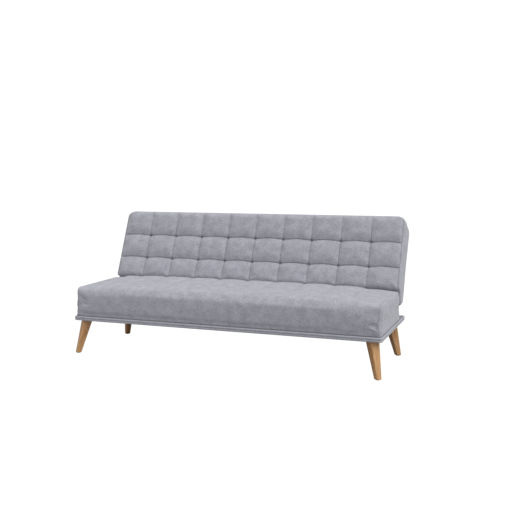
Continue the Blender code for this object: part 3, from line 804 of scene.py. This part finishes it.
# %% Back cushion
TOP_CORNER = 0.050
SCALLOP = 0.005
SCALLOP_REACH = 0.030
back_columns = seam_columns(PANEL_HALF, 18)
back_cushion = wrapped_cover(
    "back_cushion", back_outline, back_rows(), back_columns, BACK_HALF, BACK_EDGE, BACK_SPINE
)
back_hold = quilt_back(back_cushion)
round_top_corners(back_cushion, TOP_CORNER)
stuff(back_cushion, back_hold, 6.0, 0.012, 0.007)
made_finer(back_cushion)
ironed(back_cushion)

across, along, panel = laid_on_sheet(back_cushion).T
front_span = (along > front_top_at) & (along < lip_at + 0.01) & (np.abs(across) < PANEL_HALF)
far_away = np.where(front_span, 0.0, 1.0)
fade = smooth_step(along, front_top_at - 0.01, high_seam_at)
to_upright = nearest(across, UPRIGHT_SEAMS) + far_away
to_level = nearest(along, [high_seam_at, low_seam_at]) + far_away
rim_span = (along > front_top_at - 0.004) & (along < lip_at)
to_rim = np.where(rim_span, np.abs(np.abs(across) - PANEL_HALF), 1.0)
to_top_rim = np.abs(along - front_top_at) + np.where(np.abs(across) < PANEL_HALF + 0.002, 0.0, 1.0)
to_rear_rim = np.minimum(np.abs(along - 0.012), 1.0)
to_rear_rim = np.where(np.abs(across) < PANEL_HALF - 0.002, to_rear_rim, 1.0)
crossing_pit = np.hypot(to_upright, to_level)
scalloped = points_of(back_cushion)
arches = np.sin(np.pi * scalloped[:, 0] / SQUARE) ** 2
scalloped[:, 2] += SCALLOP * arches * np.exp(-((to_level / SCALLOP_REACH) ** 2))
move_points(back_cushion, scalloped)
# Painted shade: the last number of each line darkens the cloth along the seam creases and the rims, and
# most of all in the pits where seams cross.
sewn_and_shaded(
    back_cushion,
    [
        (to_upright, 0.0018 * (0.4 + 0.6 * fade), 0.0022, 0.75 * (0.5 + 0.5 * fade)),
        (to_level, 0.0030, 0.0026, 0.8),
        (crossing_pit, 0.0065, 0.0065, 1.25),
        (to_rim, 0.0020, 0.0022, 0.7),
        (to_top_rim, 0.0015, 0.0022, 0.6),
        (to_rear_rim, 0.0015, 0.0022, 0.6),
    ],
)
put_in_place(back_cushion, on_back)
upholstered(back_cushion)
print("back cushion:", len(back_cushion.data.polygons), "faces")

# %% [markdown]
# ## The seat cushion
# The seat is wrapped in the same way, with its outline seen from the side: a soft front
# edge, and a wide round at the rear that the back rolls over. Its squares are shallow,
# because people sit on them, and its front is plain.

# %% Seat cushion: outline and cloth
SEAT_HALF = seat_high.x
SEAT_PANEL_HALF = SEAT_HALF - 0.015
SEAT_EDGE = 0.016
FRONT_ROUND = 0.046
REAR_ROUND = 0.080
seat_front = seat_low.y
seat_rear = seat_high.y
seat_top = seat_high.z
seat_middle_z = (seat_low.z + seat_top) / 2
SEAT_SPINE = ((seat_front + 0.09, seat_middle_z), (seat_rear - 0.09, seat_middle_z))
seat_corners = [
    ((seat_rear, seat_top), REAR_ROUND),
    ((seat_front, seat_top - 0.006), FRONT_ROUND),
    ((seat_front, seat_low.z), 0.003),
    ((seat_rear, seat_low.z), 0.006),
]
seat_outline = Outline(rounded_outline(seat_corners))
seat_start = seat_outline.length_near((seat_rear, seat_low.z + 0.010)) - seat_outline.total
top_rear_at = seat_outline.length_near((seat_rear - REAR_ROUND * 0.7, seat_top - 0.010))
front_crease_at = seat_outline.length_near((seat_front + 0.010, seat_top - 0.022))
front_low_at = seat_outline.length_near((seat_front, seat_low.z + 0.010))
front_under_at = seat_outline.length_near((seat_front + 0.010, seat_low.z))
rear_under_at = seat_outline.length_near((seat_rear - 0.012, seat_low.z))
CROSS_SEAM_Y = -0.160
cross_seam_at = seat_outline.length_near((CROSS_SEAM_Y, seat_top - 0.001))
seat_rows = np.concatenate(
    [
        gathered(seat_start, top_rear_at, 22, 0.0),
        gathered(top_rear_at, cross_seam_at, 22, 0.4),
        gathered(cross_seam_at, front_crease_at, 20, 0.4),
        gathered(front_crease_at, front_low_at, 18, 0.0),
        gathered(front_low_at, front_under_at, 9, 0.0),
        gathered(front_under_at, rear_under_at, 12, 0.0),
        gathered(rear_under_at, seat_start + seat_outline.total, 7, 0.0),
    ]
)


def quilt_seat(cover):
    """Crowns the seat and shapes its shallow squares. Returns how firmly each point is held."""
    spots = points_of(cover)
    normals = normals_of(cover)
    across, along, panel = laid_on_sheet(cover).T
    on_top = smooth_step(normals[:, 2], 0.45, 0.95) * (panel < 0.5)
    reach = np.clip(np.abs(spots[:, 0]) / SEAT_HALF, 0, 1)
    depth = np.clip((spots[:, 1] - seat_front) / (seat_rear - seat_front), 0, 1)
    crown = 0.006 - 0.016 * reach**5 - 0.004 * (1 - depth) ** 2
    fade_front = 1 - smooth_step(along, front_crease_at - 0.16, front_crease_at - 0.02)
    fade_end = 1 - smooth_step(np.abs(across), SEAT_PANEL_HALF - 0.10, SEAT_PANEL_HALF)
    to_upright = nearest(across, UPRIGHT_SEAMS)
    to_cross = np.abs(along - cross_seam_at)
    rear_pull = smooth_step(-along, -top_rear_at - 0.05, -top_rear_at + 0.04)
    sink = (0.0030 + 0.0045 * rear_pull) * fade_front * dip(to_upright, SQUARE / 2, 3)
    sink += 0.0022 * fade_end * dip(to_cross, ROW / 2, 3)
    sink += 0.0015 * np.exp(-((to_upright**2 + to_cross**2) / 0.014**2))
    spots[:, 2] += on_top * (crown - sink)
    low_front = (normals[:, 1] < -0.8) * (panel < 0.5)
    at_end = np.clip((np.abs(spots[:, 0]) - (SEAT_HALF - SEAT_EDGE)) / SEAT_EDGE, 0, 1)
    raised = SEAT_EDGE * (1 - np.sqrt(1 - at_end**2))
    spots[:, 2] -= raised * (1 - smooth_step(spots[:, 2], seat_low.z + 0.016, seat_low.z + 0.060))
    swell = 0.004 * low_front * np.sin(np.pi * np.clip((spots[:, 2] - seat_low.z) / 0.17, 0, 1))
    move_points(cover, spots + normals * (swell + 0.005 * panel)[:, None])
    hold = np.exp(-((to_upright / 0.007) ** 2)) * fade_front * 0.9 * (on_top > 0.2)
    hold = np.maximum(hold, 0.6 * np.exp(-((to_cross / 0.007) ** 2)) * (on_top > 0.2) * fade_end)
    hidden = (normals[:, 2] < -0.5) | ((normals[:, 1] > 0.9) & (spots[:, 2] < seat_low.z + 0.06))
    hidden |= spots[:, 2] < seat_low.z + 0.022
    return np.where(hidden, 1.0, np.clip(hold, 0.1, 1))


# %% Seat cushion
seat_columns = seam_columns(SEAT_PANEL_HALF, 16)
seat_cushion = wrapped_cover(
    "seat_cushion", seat_outline, seat_rows, seat_columns, SEAT_HALF, SEAT_EDGE, SEAT_SPINE
)
seat_hold = quilt_seat(seat_cushion)
stuff(seat_cushion, seat_hold, 5.0, 0.006, 0.005)
made_finer(seat_cushion)
ironed(seat_cushion)

across, along, panel = laid_on_sheet(seat_cushion).T
top_span = (along > top_rear_at - 0.06) & (along < front_crease_at)
front_fade = 1 - smooth_step(along, front_crease_at - 0.14, front_crease_at - 0.02)
to_upright = nearest(across, UPRIGHT_SEAMS) + np.where(top_span, 0.0, 1.0)
to_cross = np.abs(along - cross_seam_at) + np.where(np.abs(across) < SEAT_PANEL_HALF, 0.0, 1.0)
seat_span = (along > seat_start + 0.04) & (along < front_low_at)
to_rim = np.where(seat_span & (panel < 0.5), np.abs(np.abs(across) - SEAT_PANEL_HALF), 1.0)
crossing_pit = np.hypot(to_upright, to_cross)
# Painted shade: the last number of each line darkens the cloth along the shallow seam creases, the side
# rims and the pits where seams cross.
sewn_and_shaded(
    seat_cushion,
    [
        (to_upright, 0.0014 * front_fade, 0.0022, 0.45 * front_fade),
        (to_cross, 0.0008, 0.0022, 0.25),
        (crossing_pit, 0.0020, 0.0050, 0.5),
        (to_rim, 0.0012, 0.0020, 0.45),
    ],
)
put_in_place(seat_cushion, lambda *spot: spot)
upholstered(seat_cushion)
print("seat cushion:", len(seat_cushion.data.polygons), "faces")

# %% [markdown]
# ## The panel behind the back
# The rear of the back is closed with a plain panel of the same cloth. Its edge is rolled
# under and sewn, so it has a soft rim and one line of stitches inside it.

# %% Rear panel
PANEL_PROUD = 0.0030
PANEL_CORNER = 0.045
PANEL_LOW_CORNER = 0.012
PANEL_CROWN = 0.001
HEM = 0.0065
PANEL_STITCH_IN = 0.010
PANEL_STITCH_DEEP = 0.0014
CLOTH_THICKNESS = 0.0012


def thickened(cover):
    """Gives a single layer of cloth its thickness, on its inner side."""
    wall = cover.modifiers.new("cloth_thickness", "SOLIDIFY")
    wall.thickness = CLOTH_THICKNESS
    wall.offset = -1
    apply_modifiers(cover)


panel_low, panel_high = leaning_box("back_panel")
half_wide = (panel_high[0] - panel_low[0]) / 2
half_tall = (panel_high[2] - panel_low[2]) / 2
deselect_everything()
bpy.ops.mesh.primitive_grid_add(x_subdivisions=100, y_subdivisions=40, size=2)
rear_panel = bpy.context.object
rear_panel.name = "rear_panel"
share = points_of(rear_panel)
share = np.sign(share) * (1 - (1 - np.minimum(np.abs(share), 1)) ** 2.2)
wide = share[:, 0] * half_wide
tall = share[:, 1] * half_tall
from_edge = np.minimum(half_wide - np.abs(wide), half_tall - np.abs(tall))
radius = np.where(tall > 0, PANEL_CORNER, PANEL_LOW_CORNER) - from_edge
radius = np.maximum(radius, 0.0)
past_x = np.abs(wide) - (half_wide - from_edge - radius)
past_z = np.abs(tall) - (half_tall - from_edge - radius)
reach = np.hypot(past_x, past_z)
pull_in = np.where((past_x > 0) & (past_z > 0), radius / np.maximum(reach, 1e-6), 1.0)
pull_in = np.minimum(pull_in, 1.0)
wide -= np.sign(wide) * past_x * (1 - pull_in)
tall -= np.sign(tall) * past_z * (1 - pull_in)
hem = np.clip(from_edge / HEM, 0, 1)
rise = PANEL_PROUD * np.sqrt(1 - (1 - hem) ** 2) + PANEL_CROWN * smooth_step(from_edge, 0.01, 0.10)
rise -= PANEL_STITCH_DEEP * np.exp(-(((from_edge - PANEL_STITCH_IN) / 0.0025) ** 2))
panel_middle = (panel_low[2] + panel_high[2]) / 2
move_points(rear_panel, np.stack([-wide, panel_low[1] + rise, tall + panel_middle], 1))
select_only(rear_panel)
bpy.ops.object.mode_set(mode="EDIT")
bpy.ops.mesh.select_all(action="SELECT")
bpy.ops.uv.cube_project(cube_size=1.0)
bpy.ops.object.mode_set(mode="OBJECT")
# Painted shade: the cloth is darkened along the stitch line inside the rim; it is not pulled in here, as
# the dip is already shaped.
sewn_and_shaded(rear_panel, [(np.abs(from_edge - PANEL_STITCH_IN), 0.0, 0.0022, 0.6)])
made_finer(rear_panel)
thickened(rear_panel)
put_in_place(rear_panel, on_back)
upholstered(rear_panel)
print("rear panel:", len(rear_panel.data.polygons), "faces")

# %% [markdown]
# ## The wrap of the base board
# The board's cloth is pulled tight round it. A corded welt runs round its top edge, and
# below the welt's stitch line the cloth turns under the board. The wrap is a box that is
# cut into levels, and each level is pushed in or out.

# %% Base wrap
WELT = 0.011
WELT_PROUD = 0.0022
STITCH_IN = 0.0012
WRAP_CORNER = 0.014
RIM_DRAWN_IN = 0.0030


def at_height(level):
    """A test for edges that lie level at the given height."""
    return lambda e: all(abs(v.co.z - level) < 0.0001 for v in e.verts)


def choose(obj, edge_test=None, face_test=None):
    """In edit mode, selects the edges or faces that pass a test."""
    mesh = bmesh.from_edit_mesh(obj.data)
    for part in (*mesh.verts, *mesh.edges, *mesh.faces):
        part.select = False
    for part in mesh.edges if edge_test else mesh.faces:
        if (edge_test or face_test)(part):
            part.select_set(True)
    bmesh.update_edit_mesh(obj.data)


deselect_everything()
base_middle = (base_low + base_high) / 2
base_size = base_high - base_low
bpy.ops.mesh.primitive_cube_add(size=1)
base_wrap = bpy.context.object
base_wrap.name = "base_wrap"
base_wrap.scale = base_size
base_wrap.location = base_middle
bpy.ops.object.transform_apply(location=True, rotation=False, scale=True)
bpy.ops.object.mode_set(mode="EDIT")
bpy.ops.mesh.select_mode(type="EDGE")
choose(base_wrap, edge_test=lambda e: abs(e.verts[0].co.z - e.verts[1].co.z) > 0.001)
bpy.ops.mesh.bevel(offset=WRAP_CORNER, segments=5)
stitch_z = base_high.z - WELT - 0.0012
welt_levels = [
    (base_high.z - 0.0022, -0.0002),
    (base_high.z - WELT / 2, WELT_PROUD),
    (base_high.z - WELT + 0.0012, 0.0004),
    (stitch_z, -STITCH_IN),
    (stitch_z - 0.0022, 0.0006),
    (base_low.z + 0.0055, 0.0012),
    (base_low.z + 0.0018, -0.0006),
]
for level, push in welt_levels:
    bpy.ops.mesh.select_all(action="SELECT")
    bpy.ops.mesh.bisect(plane_co=(0, 0, level), plane_no=(0, 0, 1))
for level, push in welt_levels:
    choose(base_wrap, edge_test=at_height(level))
    bpy.ops.transform.shrink_fatten(value=push)
drawn_x = 1 - 2 * RIM_DRAWN_IN / base_size.x
drawn_y = 1 - 2 * RIM_DRAWN_IN / base_size.y
for level in (base_high.z, base_low.z):
    choose(base_wrap, edge_test=at_height(level))
    bpy.ops.transform.resize(value=(drawn_x, drawn_y, 1), center_override=tuple(base_middle))
bpy.ops.mesh.select_mode(type="FACE")
choose(base_wrap, face_test=lambda f: f.normal.z > 0.99)
bpy.ops.mesh.inset(thickness=0.006)
bpy.ops.mesh.inset(thickness=0.0015)
bpy.ops.transform.translate(value=(0, 0, -0.0010))
bpy.ops.mesh.inset(thickness=0.0015)
bpy.ops.transform.translate(value=(0, 0, 0.0010))
bpy.ops.mesh.inset(thickness=0.02)
choose(base_wrap, face_test=lambda f: f.normal.z < -0.99)
bpy.ops.mesh.inset(thickness=0.0045)
bpy.ops.mesh.delete(type="FACE")
bpy.ops.mesh.select_all(action="SELECT")
bpy.ops.uv.cube_project(cube_size=1.0)
bpy.ops.object.mode_set(mode="OBJECT")
made_finer(base_wrap)
wrap_spots = points_of(base_wrap)
# Painted shade: the cloth is darkened along the welt's stitch groove, and over the board's top except
# near its front and side edges, where the seat sits on it.
to_stitch = np.abs(wrap_spots[:, 2] - stitch_z)
inside = np.minimum(base_size.x / 2 - np.abs(wrap_spots[:, 0]), wrap_spots[:, 1] - base_low.y)
to_crevice = np.where(wrap_spots[:, 2] > base_high.z - 0.0015, np.maximum(0, 0.0045 - inside), 1.0)
sewn_and_shaded(base_wrap, [(to_stitch, 0.0, 0.0014, 0.75), (to_crevice, 0.0, 0.0010, 1.0)])
thickened(base_wrap)
base_wrap.data.shade_smooth()
upholstered(base_wrap)
print("base wrap:", len(base_wrap.data.polygons), "faces")

# %% [markdown]
# ## Finishes for the parts of the frame
# The legs are oiled oak: each has its own grain, turned to run along that leg. The inner
# frame is plywood with its layers showing at the edges. The hinges are zinc-plated steel
# with a brushed grain, the springs are bare spring steel, and the underside is closed with
# black non-woven cloth.


# %% Finish: oiled oak
def dusted(tree, shader, where, colour, rough, amount):
    """Lays dust over a colour and a roughness, and gives both to the shader."""
    layer = placed(tree, dust, Place=where, Colour=colour, Roughness=rough, Amount=amount)
    tree.links.new(layer.outputs["Colour"], shader.inputs["Base Color"])
    tree.links.new(layer.outputs["Roughness"], shader.inputs["Roughness"])


def oak_finish(name, axis, seed):
    """Oiled oak whose grain runs along the given direction."""
    material, tree, shader = new_finish(name)
    where = place_on(tree)
    turn = Vector(axis).rotation_difference(Vector((0, 0, 1))).to_euler()
    laid = stretched(tree, where, (1, 1, 1), turn)
    shifted = tree.nodes.new("ShaderNodeVectorMath")
    shifted.inputs[1].default_value = (seed * 0.37, seed * 0.61, 0)
    tree.links.new(laid, shifted.inputs[0])
    wood = placed(tree, grain, Along=shifted.outputs[0])
    dusted(tree, shader, where, wood.outputs["Colour"], wood.outputs["Roughness"], 0.05)
    shader.inputs["Coat Weight"].default_value = 0.15
    shader.inputs["Coat Roughness"].default_value = 0.35
    bump(tree, shader, wood.outputs["Height"], 0.0003, 0.5)
    return material


# %% Finish: plywood, foam, springs, steel, non-woven cloth and nylon
PLYWOOD_PITCH = 0.003


def plywood_finish():
    """Birch plywood: pale faces, with darker and lighter layers across its thickness."""
    material, tree, shader = new_finish("birch_plywood")
    where = place_on(tree)
    laid = stretched(tree, where, (1, 0.1, 1))
    wood = placed(tree, grain, Along=laid, Light=(0.66, 0.52, 0.34), Dark=(0.52, 0.38, 0.22))
    height = tree.nodes.new("ShaderNodeSeparateXYZ")
    tree.links.new(where, height.inputs[0])
    layers = math_node(tree, "MULTIPLY", height.outputs["Z"], 2 * math.pi / PLYWOOD_PITCH)
    shade = math_node(tree, "MULTIPLY_ADD", math_node(tree, "SINE", layers), 0.10, 0.12)
    colour = mix_colour(tree, shade, wood.outputs["Colour"], (0.30, 0.19, 0.10))
    tree.links.new(colour, shader.inputs["Base Color"])
    shader.inputs["Roughness"].default_value = 0.68
    bump(tree, shader, wood.outputs["Height"], 0.0003, 0.4)
    return material


def foam_finish():
    """Open-celled upholstery foam, a little yellowed."""
    material, tree, shader = new_finish("cushion_foam")
    where = place_on(tree)
    cells = noise_node(tree, where, 700.0, 2.0)
    colour = mix_colour(tree, cells, (0.74, 0.68, 0.48), (0.86, 0.82, 0.66))
    tree.links.new(colour, shader.inputs["Base Color"])
    shader.inputs["Roughness"].default_value = 0.9
    bump(tree, shader, cells, 0.001)
    return material


def steel_finish(name, light, dark, roughness, dust_amount):
    """Plated or bare steel with a fine drawn grain and a little grime."""
    material, tree, shader = new_finish(name)
    where = place_on(tree)
    drawn = noise_node(tree, stretched(tree, where, (900, 900, 60)), 1.0, 3.0)
    spangle = noise_node(tree, where, 120.0, 3.0)
    colour = mix_colour(tree, spangle, dark, light)
    rough = math_node(tree, "MULTIPLY_ADD", drawn, 0.2, roughness)
    dusted(tree, shader, where, colour, rough, dust_amount)
    shader.inputs["Metallic"].default_value = 1.0
    bump(tree, shader, drawn, 0.0001, 0.4)
    return material


def nonwoven_finish():
    """Black non-woven cloth, embossed with small dots."""
    material, tree, shader = new_finish("black_nonwoven_cloth")
    where = place_on(tree)
    dots = tree.nodes.new("ShaderNodeTexVoronoi")
    dots.inputs["Scale"].default_value = 420.0
    tree.links.new(where, dots.inputs["Vector"])
    fibres = noise_node(tree, where, 260.0, 4.0, 0.7)
    colour = mix_colour(tree, fibres, (0.015, 0.015, 0.016), (0.045, 0.045, 0.048))
    tree.links.new(colour, shader.inputs["Base Color"])
    shader.inputs["Roughness"].default_value = 0.85
    bump(tree, shader, dots.outputs["Distance"], 0.0005, 0.6)
    return material


def nylon_finish():
    """Dark moulded nylon, slightly scuffed."""
    material, tree, shader = new_finish("moulded_nylon")
    where = place_on(tree)
    scuffs = noise_node(tree, where, 300.0, 4.0)
    colour = mix_colour(tree, scuffs, (0.03, 0.026, 0.022), (0.09, 0.08, 0.07))
    tree.links.new(colour, shader.inputs["Base Color"])
    tree.links.new(math_node(tree, "MULTIPLY_ADD", scuffs, 0.3, 0.4), shader.inputs["Roughness"])
    return material


BIRCH = plywood_finish()
FOAM = foam_finish()
ZINC = steel_finish("zinc_plated_steel", (0.62, 0.62, 0.60), (0.48, 0.48, 0.47), 0.28, 0.12)
SPRING_STEEL = steel_finish("spring_steel", (0.40, 0.40, 0.41), (0.28, 0.28, 0.29), 0.34, 0.10)
NONWOVEN = nonwoven_finish()
NYLON = nylon_finish()
print("finishes made")


# %% Every part of the frame gets its finish
def leg_axis(node):
    """The direction of a leg, from its foot to its top."""
    spots = np.array([v.co for v in NODES[node].data.vertices])
    top = spots[spots[:, 2] > spots[:, 2].max() - 0.001].mean(0)
    foot = spots[spots[:, 2] < spots[:, 2].min() + 0.001].mean(0)
    return Vector(top - foot).normalized()


FINISH_OF = {
    CUSHION_CLOTH: ("base_cover", "seat_cover", "back_cover", "back_panel"),
    NONWOVEN: ("base_dust_cover",),
    FOAM: ("seat_foam", "back_foam"),
    NYLON: ("glide_",),
    SPRING_STEEL: ("seat_spring", "back_spring", "pawl_spring"),
    ZINC: ("hinge_", "pivot_", "pawl_", "leg_bolt"),
}
for number, (name, node) in enumerate(sorted(NODES.items())):
    finish = next((m for m, starts in FINISH_OF.items() if name.startswith(starts)), BIRCH)
    if name.startswith("leg_") and not name.startswith("leg_bolt"):
        finish = oak_finish("oiled_oak_" + name, leg_axis(name), number)
    node.data.materials.clear()
    node.data.materials.append(finish)
print("finished parts:", len(NODES))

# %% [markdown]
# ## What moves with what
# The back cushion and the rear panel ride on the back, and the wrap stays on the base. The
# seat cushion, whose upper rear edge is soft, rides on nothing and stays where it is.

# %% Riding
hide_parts("back_cover", "back_foam")
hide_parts("seat_cover", "seat_foam")
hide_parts("back_panel")
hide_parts("base_cover")
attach(rear_panel, "back")
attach(base_wrap, "base")

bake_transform(seat_cushion)
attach(back_cushion, "back")

# %% [markdown]
# ## Sizes and the end
# Each finished soft part's lowest and highest points are printed.

# %% Sizes, and the finish
for piece in (back_cushion, seat_cushion, rear_panel, base_wrap):
    spots = points_of(piece)
    print(piece.name, "from", spots.min(0).round(4).tolist(), "to", spots.max(0).round(4).tolist())
